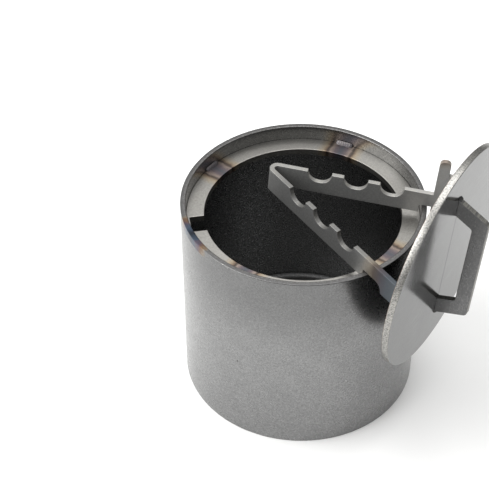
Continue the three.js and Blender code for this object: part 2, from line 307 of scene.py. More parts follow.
def cut_plate(
    loops: Sequence[np.ndarray],
    thickness: float,
    edge_radius: float,
    place: Place,
    extra: np.ndarray | None = None,
) -> Shell:
    """A flat or bent plate with softly rounded edges.

    Every outline is carried up the plate's edge. At angle a of an edge's rounding it is inset by
    r * (1 - sin a) at r * (1 - cos a) above the lower face. The faces are triangulated between.

    Args:
        loops: outlines in mm with the material on their left.
        thickness: the plate's thickness in mm.
        edge_radius: the radius of its edges in mm.
        place: turns plate coordinates in mm, with the third across the plate, into metres.
        extra: points in mm inside the outlines that the faces must pass through.

    Returns:
        The plate, with the marks "cut" (1 on its cut edges), "along" and "height" in mm.
    """
    angle = np.radians([0.0, 30.0, 60.0, 90.0])
    soft = 0.12
    depth = np.concatenate([[edge_radius + soft], edge_radius * (1 - np.sin(angle)), [0.0]])
    level = np.concatenate([[0.0], edge_radius * (1 - np.cos(angle)), [edge_radius + soft]])
    level = level - thickness / 2
    cut = np.concatenate([[0.0, 0.0], np.sin(angle[1:]), [1.0]])
    depths, levels = np.concatenate([depth, depth[::-1]]), np.concatenate([level, -level[::-1]])
    cuts = np.concatenate([cut, cut[::-1]])
    blocks, faces, marks, count = [], [], [], 0
    for loop in loops:
        rings = np.stack([inset(loop, d) for d in depths])
        heights = np.broadcast_to(levels[:, None, None], (*rings.shape[:2], 1))
        blocks.append(np.concatenate([rings, heights], axis=2).reshape(-1, 3))
        marks.append(np.repeat(cuts, len(loop)))
        faces.append(count + grid_faces(len(depths), len(loop), False, True))
        count += len(blocks[-1])
    rims = [inset(loop, depths[0]) for loop in loops]
    flat = np.concatenate([*rims, *([] if extra is None else [extra])])
    starts = np.cumsum([0, *(len(r) for r in rims)])
    edges = np.concatenate(
        [a + np.stack([np.arange(n), (np.arange(n) + 1) % n], 1) for a, n in zip(starts, map(len, rims))]
    )
    found = delaunay_2d_cdt(flat.tolist(), edges.tolist(), [], 1, 1e-7)
    cap, triangles = np.array(found[0]), np.array(found[2])
    triangles = triangles[encloses(rims, cap[triangles].mean(axis=1))]
    for side in (-1, 1):
        height = np.full((len(cap), 1), side * thickness / 2)
        blocks.append(np.concatenate([cap, height], axis=1))
        marks.append(np.zeros(len(cap)))
        faces.append(count + (triangles if side > 0 else triangles[:, ::-1]))
        count += len(cap)
    points = np.concatenate(blocks)
    values = {"cut": np.concatenate(marks), "along": points[:, 0], "height": points[:, 1]}
    return Shell(place(points), faces, values)


def lathe(profile: np.ndarray, segments: int, place: Place, cut: np.ndarray) -> Shell:
    """A profile of radius and height carried round the Z axis.

    The point for profile step i at angle a is (r_i * cos a, r_i * sin a, h_i).

    Args:
        profile: radius and height in mm, closed on itself or starting and ending on the axis.
        segments: how many steps make the turn.
        place: turns coordinates in mm into metres.
        cut: the mark "cut" of each profile point.

    Returns:
        The turned shell.
    """
    turn = np.linspace(0.0, 2 * math.pi, segments, endpoint=False)
    radius, height = profile[:, :1], profile[:, 1:]
    points = np.stack(
        [radius * np.cos(turn), radius * np.sin(turn), np.broadcast_to(height, (len(profile), segments))], 2
    ).reshape(-1, 3)
    closed = bool(profile[0, 0] > 0)
    faces = grid_faces(len(profile), segments, closed, True)
    return Shell(place(points), [faces], {"cut": np.repeat(cut, segments)})


def rounded_section(corners: Sequence[Corner], spacing: float) -> tuple[np.ndarray, np.ndarray]:
    """A closed lathe profile and a "cut" mark of 1 on its faces that lie across the axis.

    Args:
        corners: radius, height and rounding of each corner in mm, anticlockwise.
        spacing: the longest step in mm.

    Returns:
        The profile and the mark of each of its points.
    """
    path = rounded_path(corners, spacing)
    ahead = np.roll(path, -1, axis=0) - np.roll(path, 1, axis=0)
    ahead /= np.linalg.norm(ahead, axis=1)[:, None]
    return path, np.abs(ahead[:, 0])


def weld_bead(
    start: np.ndarray,
    finish: np.ndarray,
    first: np.ndarray,
    second: np.ndarray,
    leg: float,
    pitch: float,
    place: Place,
    fullness: float = 1.0,
) -> Shell:
    """A rippled fillet bead in the corner between two faces.

    At share t of its length and angle a across it, the surface is the corner plus
    L * (first * cos a + second * sin a), where L is the leg, rounded off at the bead's ends,
    drawn in towards the flat face 1 / (cos a + sin a) where the bead is not full, and rippled by a
    sawtooth that lags at the bead's middle, as a cooled weld pool leaves it.

    Args:
        start: one end of the corner's line, in mm.
        finish: its other end, in mm.
        first: unit direction along one face, away from the corner.
        second: unit direction along the other face.
        leg: the bead's leg in mm.
        pitch: the distance between ripples in mm.
        place: turns coordinates in mm into metres.
        fullness: 1 for a bead with a round back, 0 for one with a flat face between its toes.

    Returns:
        The closed bead.
    """
    length = float(np.linalg.norm(finish - start))
    share = np.linspace(0.0, 1.0, max(24, int(length / pitch) * 8))[:, None]
    across = np.linspace(0.0, math.pi / 2, 13)[None, :]
    body = (1 - np.abs(2 * share - 1) ** 6) ** 0.5
    phase = share * length / pitch + RIPPLE_LAG * np.sin(2 * across)
    ripple = 1 + RIPPLE_DEPTH * ((phase % 1.0) - 0.5) * np.sin(2 * across)
    bulge = fullness + (1 - fullness) / (np.cos(across) + np.sin(across))
    size = (leg * BEAD_FILL * body * ripple * bulge)[..., None]
    corner = start + (finish - start) * share[..., None]
    skin = corner + size * (first * np.cos(across)[..., None] + second * np.sin(across)[..., None])
    points = np.concatenate([skin, corner], axis=1)
    rows, columns = points.shape[:2]
    faces = grid_faces(rows, columns, False, True)
    return Shell(place(points.reshape(-1, 3)), [faces])


# ---------------------------------------------------------------- finishes


@dataclass(frozen=True)
class HeatTint:
    """Oxide colours laid over steel by distance from a weld.

    The eye reads heat: slate and blue where it was hottest, then purple, brown and straw, and bare
    steel beyond. The stops run from the weld outwards over reach_mm, and waver_mm is how far their
    borders wander.
    """

    stops: tuple[Stop, ...]
    reach_mm: float
    waver_mm: float

    def lay(self, tree: Tree, place: Socket, distance: Socket, colour: Socket) -> Socket:
        """Lays the tint over a colour.

        Args:
            tree: the material's node tree.
            place: Object coordinates.
            distance: the distance from the weld in mm.
            colour: the colour underneath.

        Returns:
            The tinted colour.
        """
        wander = add_node(tree, "TexNoise", {"Vector": place, "Scale": per_mm(2.2), "Detail": 3.0})
        half = self.waver_mm / self.reach_mm
        shift = add_node(tree, "MapRange", {"Value": wander, "To Min": -half, "To Max": half})
        share = add_node(tree, "Math", (distance, 1.0 / self.reach_mm, shift), operation="MULTIPLY_ADD")
        ramp = add_node(tree, "ValToRGB", (share,), stops=self.stops)
        cover = ramp.node.outputs["Alpha"]
        return add_node(tree, "Mix", {"Factor": cover, "A": colour, "B": ramp}, data_type="RGBA")


def from_azimuth(tree: Tree, place: Socket, azimuth: float) -> Socket:
    """Finds how far to the side of an azimuth a point is.

    Args:
        tree: the material's node tree.
        place: Object coordinates.
        azimuth: the azimuth in degrees about the cup's axis.

    Returns:
        The distance in mm from the upright half-plane at that azimuth, and 1000 mm more behind it.
    """
    turn = (0.0, 0.0, -math.radians(azimuth))
    turned = add_node(tree, "Mapping", {"Vector": place, "Rotation": turn})
    ahead = add_node(tree, "SeparateXYZ", (turned,))
    aside = add_node(tree, "Math", (ahead.node.outputs["Y"],), operation="ABSOLUTE")
    behind = add_node(tree, "Math", (ahead, 0.0), operation="LESS_THAN")
    return add_node(
        tree, "Math", (add_node(tree, "Math", (aside, behind)), 1.0 / MM), operation="MULTIPLY"
    )


@dataclass(frozen=True)
class Steel:
    """Bare steel: a finely mottled, softly clouded skin with its own tone on cut edges.

    The eye gets a grey metal that is dull where mill scale is left, a little brighter where it is
    worn, faintly scratched, and finely ridged wherever a cutter went through.
    """

    name: str
    dark: str
    light: str
    edge: str
    roughness: float
    edge_roughness: float = 0.42
    metallic: float = 1.0
    grain_mm: float = 0.6
    cloud_mm: float = 9.0
    cloud_share: float = 0.3
    bump_mm: float = 0.010
    ridges: tuple[float, float, float] = (1.0, 1.0, 1.0)
    ridge_mm: float = 0.05
    scratch_turn: tuple[float, float, float] = (0.3, 0.5, 0.2)
    scratch_cover: float = 0.14
    scratch_shade: str = "d0d0cc"

    def tinted(self, tree: Tree, place: Socket, colour: Socket) -> Socket:
        """Lays this finish's own marks over the colour. Plain steel has none."""
        return colour

    def scratched(self, tree: Tree, place: Socket, colour: Socket) -> Socket:
        """Lays short pale scratches over the colour.

        They are a noise stretched twelve times along one direction, kept where it is highest. Real
        ones are about 0.1 mm wide, and they are drawn 0.35 mm wide so that they show.

        Args:
            tree: the material's node tree.
            place: Object coordinates.
            colour: the colour underneath.

        Returns:
            The scratched colour.
        """
        squeeze = (1.0, 0.08, 1.0)
        run = add_node(tree, "Mapping", {"Vector": place, "Rotation": self.scratch_turn, "Scale": squeeze})
        lines = add_node(tree, "TexNoise", {"Vector": run, "Scale": per_mm(0.7), "Detail": 1.0})
        span = {"Value": lines, "From Min": 0.64, "From Max": 0.74, "To Max": self.scratch_cover}
        cover = add_node(tree, "MapRange", span)
        return add_node(
            tree, "Mix", {"Factor": cover, "A": colour, "B": linear(self.scratch_shade)}, data_type="RGBA"
        )

    def build(self) -> bpy.types.Material:
        """Makes the material.

        Returns:
            The material.
        """
        material = bpy.data.materials.new(self.name)
        material.use_nodes = True
        tree = material.node_tree
        shader = tree.nodes["Principled BSDF"]
        shader.inputs["Metallic"].default_value = self.metallic
        place = add_node(tree, "TexCoord", output="Object")
        cut = add_node(tree, "Attribute", output="Fac", attribute_name="cut")
        fine = {"Vector": place, "Scale": per_mm(self.grain_mm), "Detail": 4.0, "Roughness": 0.6}
        grain = add_node(tree, "TexNoise", fine)
        cloud = add_node(tree, "TexNoise", fine | {"Scale": per_mm(self.cloud_mm)})
        mottle = add_node(tree, "Mix", {"Factor": self.cloud_share, "A": grain, "B": cloud})
        skin = add_node(tree, "ValToRGB", (mottle,), stops=[(0.38, self.dark, 1.0), (0.62, self.light, 1.0)])
        skin = self.scratched(tree, place, skin)
        stretched = add_node(tree, "Mapping", {"Vector": place, "Scale": self.ridges})
        ridge = add_node(tree, "TexNoise", {"Vector": stretched, "Scale": per_mm(0.45), "Detail": 2.0})
        edge = add_node(tree, "ValToRGB", (ridge,), stops=[(0.30, self.dark, 1.0), (0.62, self.edge, 1.0)])
        colour = add_node(tree, "Mix", {"Factor": cut, "A": skin, "B": edge}, data_type="RGBA")
        colour = self.tinted(tree, place, colour)
        span = {"Value": mottle, "From Min": 0.35, "From Max": 0.65}
        span |= {"To Min": self.roughness + 0.06, "To Max": self.roughness - 0.05}
        dull = add_node(tree, "MapRange", span)
        rough = add_node(tree, "Mix", {"Factor": cut, "A": dull, "B": self.edge_roughness})
        low = add_node(tree, "Math", (grain, self.bump_mm), operation="MULTIPLY")
        high = add_node(tree, "Math", (ridge, self.ridge_mm), operation="MULTIPLY")
        height = add_node(tree, "Mix", {"Factor": cut, "A": low, "B": high})
        bump = add_node(tree, "Bump", {"Height": height, "Distance": MM, "Strength": 1.0})
        tree.links.new(colour, shader.inputs["Base Color"])
        tree.links.new(rough, shader.inputs["Roughness"])
        tree.links.new(bump, shader.inputs["Normal"])
        return material


@dataclass(frozen=True)
class TubeSteel(Steel):
    """Hot-rolled tube: grey mill skin with scattered pits and one even tone inside below the ledge.

    The eye gets a dull outer wall, dotted with small pits and darkened towards the top by a painted
    shade, a nearly black inside, a nicked rim, and a browned and blued stretch of rim beside the
    ledge's slot.
    """

    # one even tone over the inside below the ledge, up to this height and within this radius in mm
    inside_tone: str = "8c8c8c"
    inside_tone_top: float = 74.5
    inside_tone_radius: float = 43.4
    burn_azimuth: float = -123.0
    rim_height: float = 78.5
    nick_height: float = 81.2
    nick_mm: float = 5.0
    nick_size: float = 0.065
    pit_mm: float = 8.0
    pit_size: float = 0.055
    pit_chosen: float = 0.75
    pit_cover: float = 0.7
    pit_shade: str = "4a4a48"
    # painted shade that darkens the outer wall towards its top
    painted_top_shade: str = "5e5e5e"
    nick_shade: str = "cfcfcb"
    # heights in mm where the painted top shade starts and is full, and its cover
    painted_top_shade_span: tuple[float, float, float] = (42.0, 76.0, 0.55)

    def tinted(self, tree: Tree, place: Socket, colour: Socket) -> Socket:
        """Adds pits, the painted shade towards the top of the outer wall, the even tone inside and the burnt
        stretch of rim.

        Args:
            tree: the material's node tree.
            place: Object coordinates.
            colour: the colour underneath.

        Returns:
            The tube's colour.
        """
        cells = add_node(tree, "TexVoronoi", {"Vector": place, "Scale": per_mm(self.pit_mm)})
        pit = add_node(tree, "Math", (cells, self.pit_size), operation="LESS_THAN")
        drawn = add_node(tree, "SeparateXYZ", (cells.node.outputs["Color"],))
        chosen = add_node(tree, "Math", (drawn, self.pit_chosen), operation="GREATER_THAN")
        pit = add_node(tree, "Math", (pit, chosen), operation="MULTIPLY")
        pit = add_node(tree, "Math", (pit, self.pit_cover), operation="MULTIPLY")
        colour = add_node(
            tree, "Mix", {"Factor": pit, "A": colour, "B": linear(self.pit_shade)}, data_type="RGBA"
        )
        x = add_node(tree, "SeparateXYZ", (place,))
        y, z = x.node.outputs["Y"], x.node.outputs["Z"]
        flat = add_node(tree, "CombineXYZ", (x, y))
        radius = add_node(tree, "VectorMath", (flat,), output="Value", operation="LENGTH")
        within = add_node(tree, "Math", (radius, self.inside_tone_radius * MM), operation="LESS_THAN")
        below = add_node(tree, "Math", (z, self.inside_tone_top * MM), operation="LESS_THAN")
        inside_cover = add_node(tree, "Math", (within, below), operation="MULTIPLY")
        # painted shade: the outer wall is darkened smoothly towards its top
        start, full, share = self.painted_top_shade_span
        span = {"Value": z, "From Min": start * MM, "From Max": full * MM, "To Max": share}
        dull = add_node(tree, "MapRange", span, interpolation_type="SMOOTHSTEP")
        outside = add_node(tree, "Math", (1.0, within), operation="SUBTRACT")
        dull = add_node(tree, "Math", (dull, outside), operation="MULTIPLY")
        colour = add_node(
            tree, "Mix", {"Factor": dull, "A": colour, "B": linear(self.painted_top_shade)}, data_type="RGBA"
        )
        # the inside below the ledge gets one even tone in place of the mottled skin
        colour = add_node(
            tree, "Mix", {"Factor": inside_cover, "A": colour, "B": linear(self.inside_tone)}, data_type="RGBA"
        )
        aside = from_azimuth(tree, place, self.burn_azimuth)
        under = add_node(tree, "Math", (z, self.rim_height * MM), operation="LESS_THAN")
        aside = add_node(tree, "Math", (under, 100.0, aside), operation="MULTIPLY_ADD")
        nicks = add_node(tree, "TexVoronoi", {"Vector": place, "Scale": per_mm(self.nick_mm)})
        above = add_node(tree, "Math", (z, self.nick_height * MM), operation="GREATER_THAN")
        nick = add_node(tree, "Math", (nicks, self.nick_size), operation="LESS_THAN")
        nick = add_node(tree, "Math", (nick, above), operation="MULTIPLY")
        burn = HeatTint(
            (
                (0.0, "262b33", 0.95),
                (0.35, Oxide.BLUE.value, 0.9),
                (0.55, Oxide.PURPLE.value, 0.85),
                (0.72, Oxide.BROWN.value, 0.8),
                (1.0, Oxide.STRAW.value, 0.0),
            ),
            10.5,
            2.5,
        )
        colour = burn.lay(tree, place, aside, colour)
        return add_node(
            tree, "Mix", {"Factor": nick, "A": colour, "B": linear(self.nick_shade)}, data_type="RGBA"
        )


@dataclass(frozen=True)
class LedgeSteel(Steel):
    """Sheared plate browned right across at each tack weld.

    The eye gets a pale warm ring crossed by slate and purple patches with dark brown borders and
    straw-coloured fringes.
    """

    azimuths: tuple[float, ...] = ()
    patch: HeatTint = HeatTint(
        (
            (0.0, "474b55", 0.85),
            (0.22, Oxide.PURPLE.value, 0.75),
            (0.40, "8a7468", 0.6),
            (0.47, "4a3a30", 0.8),
            (0.52, "33271f", 0.85),
            (0.58, Oxide.BROWN.value, 0.75),
            (0.72, Oxide.STRAW.value, 0.5),
            (1.0, Oxide.STRAW.value, 0.0),
        ),
        8.8,
        0.9,
    )

    def tinted(self, tree: Tree, place: Socket, colour: Socket) -> Socket:
        """Adds one patch at each tack weld.

        Args:
            tree: the material's node tree.
            place: Object coordinates.
            colour: the colour underneath.

        Returns:
            The ledge's colour.
        """
        aside = from_azimuth(tree, place, self.azimuths[0])
        for azimuth in self.azimuths[1:]:
            aside = add_node(
                tree, "Math", (aside, from_azimuth(tree, place, azimuth)), operation="MINIMUM"
            )
        return self.patch.lay(tree, place, aside, colour)


@dataclass(frozen=True)
class StripSteel(Steel):
    """Flat bar browned and blued at the arms' ends, where the lid was welded on.

    The eye gets dull rolled faces, with a painted shade that darkens the near arm and a painted
    light that makes them paler towards the far arm's end, brighter cut edges, and heat colours that
    run along each arm towards the disc and up the finger's tip.
    """

    end: float = 72.0
    finger_top: float = 19.8
    # painted shade over the near arm: its cover and colour
    near_shade_share: float = 0.55
    near_painted_shade: str = "484848"
    # painted light towards the far arm's end: where it starts and is full along the strip, its cover and
    # colour
    far_light_from: float = 35.0
    far_light_full: float = 60.0
    far_light_share: float = 0.5
    far_painted_light: str = "c0beba"
    near_tint: HeatTint = HeatTint(
        (
            (0.0, "464d52", 0.9),
            (0.30, "343c45", 0.85),
            (0.50, "38323a", 0.85),
            (0.66, "463a30", 0.85),
            (0.84, "7d6c50", 0.3),
            (1.0, Oxide.STRAW.value, 0.0),
        ),
        19.0,
        1.5,
    )
    far_tint: HeatTint = HeatTint(
        ((0.0, Oxide.PURPLE.value, 0.7), (0.4, Oxide.BROWN.value, 0.6), (1.0, Oxide.STRAW.value, 0.0)),
        7.0,
        1.2,
    )
    tip_tint: HeatTint = HeatTint(((0.0, Oxide.BROWN.value, 0.6), (1.0, Oxide.STRAW.value, 0.0)), 3.0, 0.8)

    def tinted(self, tree: Tree, place: Socket, colour: Socket) -> Socket:
        """Adds the painted shade on the near arm, the painted light towards the far arm's end, and the heat
        colours along each arm and at the finger's tip.

        Args:
            tree: the material's node tree.
            place: Object coordinates.
            colour: the colour underneath.

        Returns:
            The strip's colour.
        """
        along = add_node(tree, "Attribute", output="Fac", attribute_name="along")
        up = add_node(tree, "Attribute", output="Fac", attribute_name="height")
        near = add_node(tree, "Math", (along, self.end))
        far = add_node(tree, "Math", (self.end, along), operation="SUBTRACT")
        tip = add_node(tree, "Math", (self.finger_top, up), operation="SUBTRACT")
        # painted shade: the near arm's faces are darkened, standing in for the shade they lie in
        span = {"Value": along, "From Min": 4.0, "From Max": -10.0, "To Max": self.near_shade_share}
        near_shade = add_node(tree, "MapRange", span)
        colour = add_node(
            tree, "Mix", {"Factor": near_shade, "A": colour, "B": linear(self.near_painted_shade)}, data_type="RGBA"
        )
        # painted light: the faces grow paler towards the far arm's end and the finger, standing in for the
        # light that falls there
        reach = {"From Min": self.far_light_from, "From Max": self.far_light_full}
        far_light = add_node(tree, "MapRange", {"Value": along, **reach, "To Max": self.far_light_share})
        colour = add_node(
            tree, "Mix", {"Factor": far_light, "A": colour, "B": linear(self.far_painted_light)}, data_type="RGBA"
        )
        colour = self.near_tint.lay(tree, place, near, colour)
        colour = self.far_tint.lay(tree, place, far, colour)
        return self.tip_tint.lay(tree, place, tip, colour)


@dataclass(frozen=True)
class LidSteel(Steel):
    """Satin sheet with a scribed line across it, under the grip.

    The eye gets a smooth grey face that mirrors the grip, one crisp dark line along the grip's
    foot and a shorter faint one beside it, and a back corner browned by the strip's welding.
    """

    browned_share: float = 0.75
    browned_shade: str = "8a5c34"
    middle_height: float = 82.3
    line_width: float = 0.9
    # offset, half length, hex colour and cover of each line
    lines: tuple[tuple[float, float, str, float], ...] = (
        (0.0, 19.5, "202022", 0.95),
        (-9.7, 7.0, "4a4a4c", 0.2),
    )

    def tinted(self, tree: Tree, place: Socket, colour: Socket) -> Socket:
        """Adds the browned back corner and the scribed lines.

        Args:
            tree: the material's node tree.
            place: Object coordinates.
            colour: the colour underneath.

        Returns:
            The disc's colour.
        """
        back = add_node(tree, "Attribute", output="Fac", attribute_name="back")
        brown = add_node(tree, "Math", (back, self.browned_share), operation="MULTIPLY")
        colour = add_node(
            tree, "Mix", {"Factor": brown, "A": colour, "B": linear(self.browned_shade)}, data_type="RGBA"
        )
        front = add_node(tree, "Attribute", output="Fac", attribute_name="front")
        x = add_node(tree, "SeparateXYZ", (place,))
        y, z = x.node.outputs["Y"], x.node.outputs["Z"]
        for offset, half, shade, cover in self.lines:
            beside = add_node(
                tree, "Math", (y, offset * MM, self.line_width / 2 * MM), operation="COMPARE"
            )
            along = add_node(tree, "Math", (z, self.middle_height * MM, half * MM), operation="COMPARE")
            share = add_node(tree, "Math", (beside, along), operation="MULTIPLY")
            share = add_node(tree, "Math", (share, front), operation="MULTIPLY")
            share = add_node(tree, "Math", (share, cover), operation="MULTIPLY")
            colour = add_node(
                tree, "Mix", {"Factor": share, "A": colour, "B": linear(shade)}, data_type="RGBA"
            )
        return colour


# ---------------------------------------------------------------- cup


def to_metres(points: np.ndarray) -> np.ndarray:
    """Cup coordinates in mm as metres."""
    return points * MM


@dataclass
class Cup:
    """The welded tube, its base and the ledge ring inside its mouth. Sizes are in mm."""

    outer_radius: float = 44.45
    wall: float = 2.0
    height: float = 81.7
    rim_rounding: float = 0.35
    base_thickness: float = 2.5
    base_leg: float = 2.0
    ledge_top: float = 76.0
    ledge_thickness: float = 2.5
    ledge_inner_radius: float = 35.9
    slot_width: float = 7.8
    slot_reach: float = 5.2
    slot_azimuth: float = -138.0
    tack_azimuths: tuple[float, ...] = (175.0, 98.5, -1.5, -92.0)
    tint_azimuths: tuple[float, ...] = (175.0, 98.5, -5.0, -92.0)
    tack_length: float = 7.0
    tack_leg: float = 1.3
    tack_pitch: float = 0.9
    tack_fullness: float = 0.3
    base_gap: float = 0.05
    bead_gap: float = 0.02
    ledge_gap: float = 0.03
    ledge_edge: float = 0.18
    slot_corner: float = 0.35

    @property
    def inner_radius(self) -> float:
        """The tube's inner radius."""
        return self.outer_radius - self.wall

    def tube(self) -> bpy.types.Object:
        """Makes the tube from its wall's section, carried round the axis.

        Returns:
            The tube.
        """
        r = self.rim_rounding
        section, cut = rounded_section(
            [
                (self.inner_radius, 0.0, r),
                (self.outer_radius, 0.0, r),
                (self.outer_radius, self.height, r),
                (self.inner_radius, self.height, r),
            ],
            3.0,
        )
        shell = lathe(section, TURN_STEPS, to_metres, cut)
        return shell.to_piece("tube", Body.CUP, Slot.TUBE, "tube_wall")

    def base(self) -> bpy.types.Object:
        """Makes the round plate welded into the tube's foot.

        Returns:
            The base.
        """
        edge, soft, t = self.inner_radius - self.base_gap, 0.3, self.base_thickness
        radius = np.array([0.0, edge - 2 * soft, edge - soft, edge, edge, edge - soft, edge - 2 * soft, 0.0])
        height = np.array([0.0, 0.0, 0.0, soft, t - soft, t, t, t])
        cut = np.array([0.0, 0.0, 0.0, 1.0, 1.0, 0.0, 0.0, 0.0])
        shell = lathe(np.stack([radius, height], axis=1), 192, to_metres, cut)
        return shell.to_piece("base", Body.CUP, Slot.PLATE, "base_plate")

    def base_seam(self) -> bpy.types.Object:
        """Makes the rippled weld round the base: leg * (-cos a, sin a) from the corner, carried round.

        Returns:
            The seam.
        """
        ripples, across = 130, np.linspace(0.0, math.pi / 2, 9)[:, None]
        turn = np.linspace(0.0, 2 * math.pi, ripples * 6, endpoint=False)[None, :]
        phase = turn * ripples / (2 * math.pi) + RIPPLE_LAG * np.sin(2 * across)
        ripple = 1 + RIPPLE_DEPTH * ((phase % 1.0) - 0.5) * np.sin(2 * across)
        size = self.base_leg * BEAD_FILL * ripple
        radius = self.inner_radius - self.bead_gap - size * np.cos(across)
        height = self.base_thickness + size * np.sin(across)
        radius = np.concatenate([radius, np.full_like(turn, self.inner_radius - self.bead_gap)])
        height = np.concatenate([height, np.full_like(turn, self.base_thickness)])
        points = np.stack([radius * np.cos(turn), radius * np.sin(turn), height], axis=2)
        faces = grid_faces(points.shape[0], points.shape[1], True, True)
        shell = Shell(to_metres(points.reshape(-1, 3)), [faces])
        return shell.to_piece("base_seam", Body.CUP, Slot.WELD, "base_weld_seam")

    def ledge(self) -> bpy.types.Object:
        """Makes the ledge ring, with its square-cut slot.

        Returns:
            The ledge.
        """
        outer = self.inner_radius - self.ledge_gap
        turn = np.linspace(0.0, 2 * math.pi, 240, endpoint=False)
        rim = outer * np.stack([np.cos(turn), np.sin(turn)], axis=1)
        half = math.asin(self.slot_width / 2 / self.ledge_inner_radius)
        arc = np.linspace(2 * math.pi - half, half, 200)
        mouth = self.ledge_inner_radius * np.stack([np.cos(arc), np.sin(arc)], axis=1)
        end = self.ledge_inner_radius + self.slot_reach
        side, inside, corner = self.slot_width / 2, 30.0, self.slot_corner
        slot = [(inside, side, 0.0), (end, side, corner), (end, -side, corner), (inside, -side, 0.0)]
        deep = rounded_path(slot, 0.6)
        deep = deep[(deep[:, 0] > mouth[-1, 0] + 0.05)]
        hole = np.concatenate([mouth, deep])
        swing = math.radians(self.slot_azimuth)
        spin = np.array([[math.cos(swing), math.sin(swing)], [-math.sin(swing), math.cos(swing)]])
        middle = self.ledge_top - self.ledge_thickness / 2
        shell = cut_plate(
            [rim, hole @ spin], self.ledge_thickness, self.ledge_edge, lambda p: (p + [0.0, 0.0, middle]) * MM
        )
        return shell.to_piece("ledge", Body.CUP, Slot.PLATE, "ledge_ring")

    def tack(self, number: int) -> bpy.types.Object:
        """Makes one tack weld between the ledge and the wall.

        Args:
            number: which of the tacks, from 0.

        Returns:
            The tack.
        """
        azimuth = math.radians(self.tack_azimuths[number])
        out = np.array([math.cos(azimuth), math.sin(azimuth), 0.0])
        side = np.array([-out[1], out[0], 0.0])
        half = self.tack_length / 2
        bend = math.sqrt(self.inner_radius**2 - half**2) - self.bead_gap
        middle = out * bend + [0.0, 0.0, self.ledge_top]
        ends = middle - side * half, middle + side * half
        up = np.array([0.0, 0.0, 1.0])
        shell = weld_bead(*ends, -out, up, self.tack_leg, self.tack_pitch, to_metres, self.tack_fullness)
        return shell.to_piece(f"ledge_tack_{number + 1}", Body.CUP, Slot.WELD, f"ledge_weld_{number + 1}")

    def build(self) -> dict[str, bpy.types.Object]:
        """Makes every piece of the cup.

        Returns:
            The pieces by name.
        """
        made = [self.tube(), self.base(), self.base_seam(), self.ledge()]
        made += [self.tack(k) for k in range(len(self.tack_azimuths))]
        return {piece.name: piece for piece in made}


# ---------------------------------------------------------------- lid


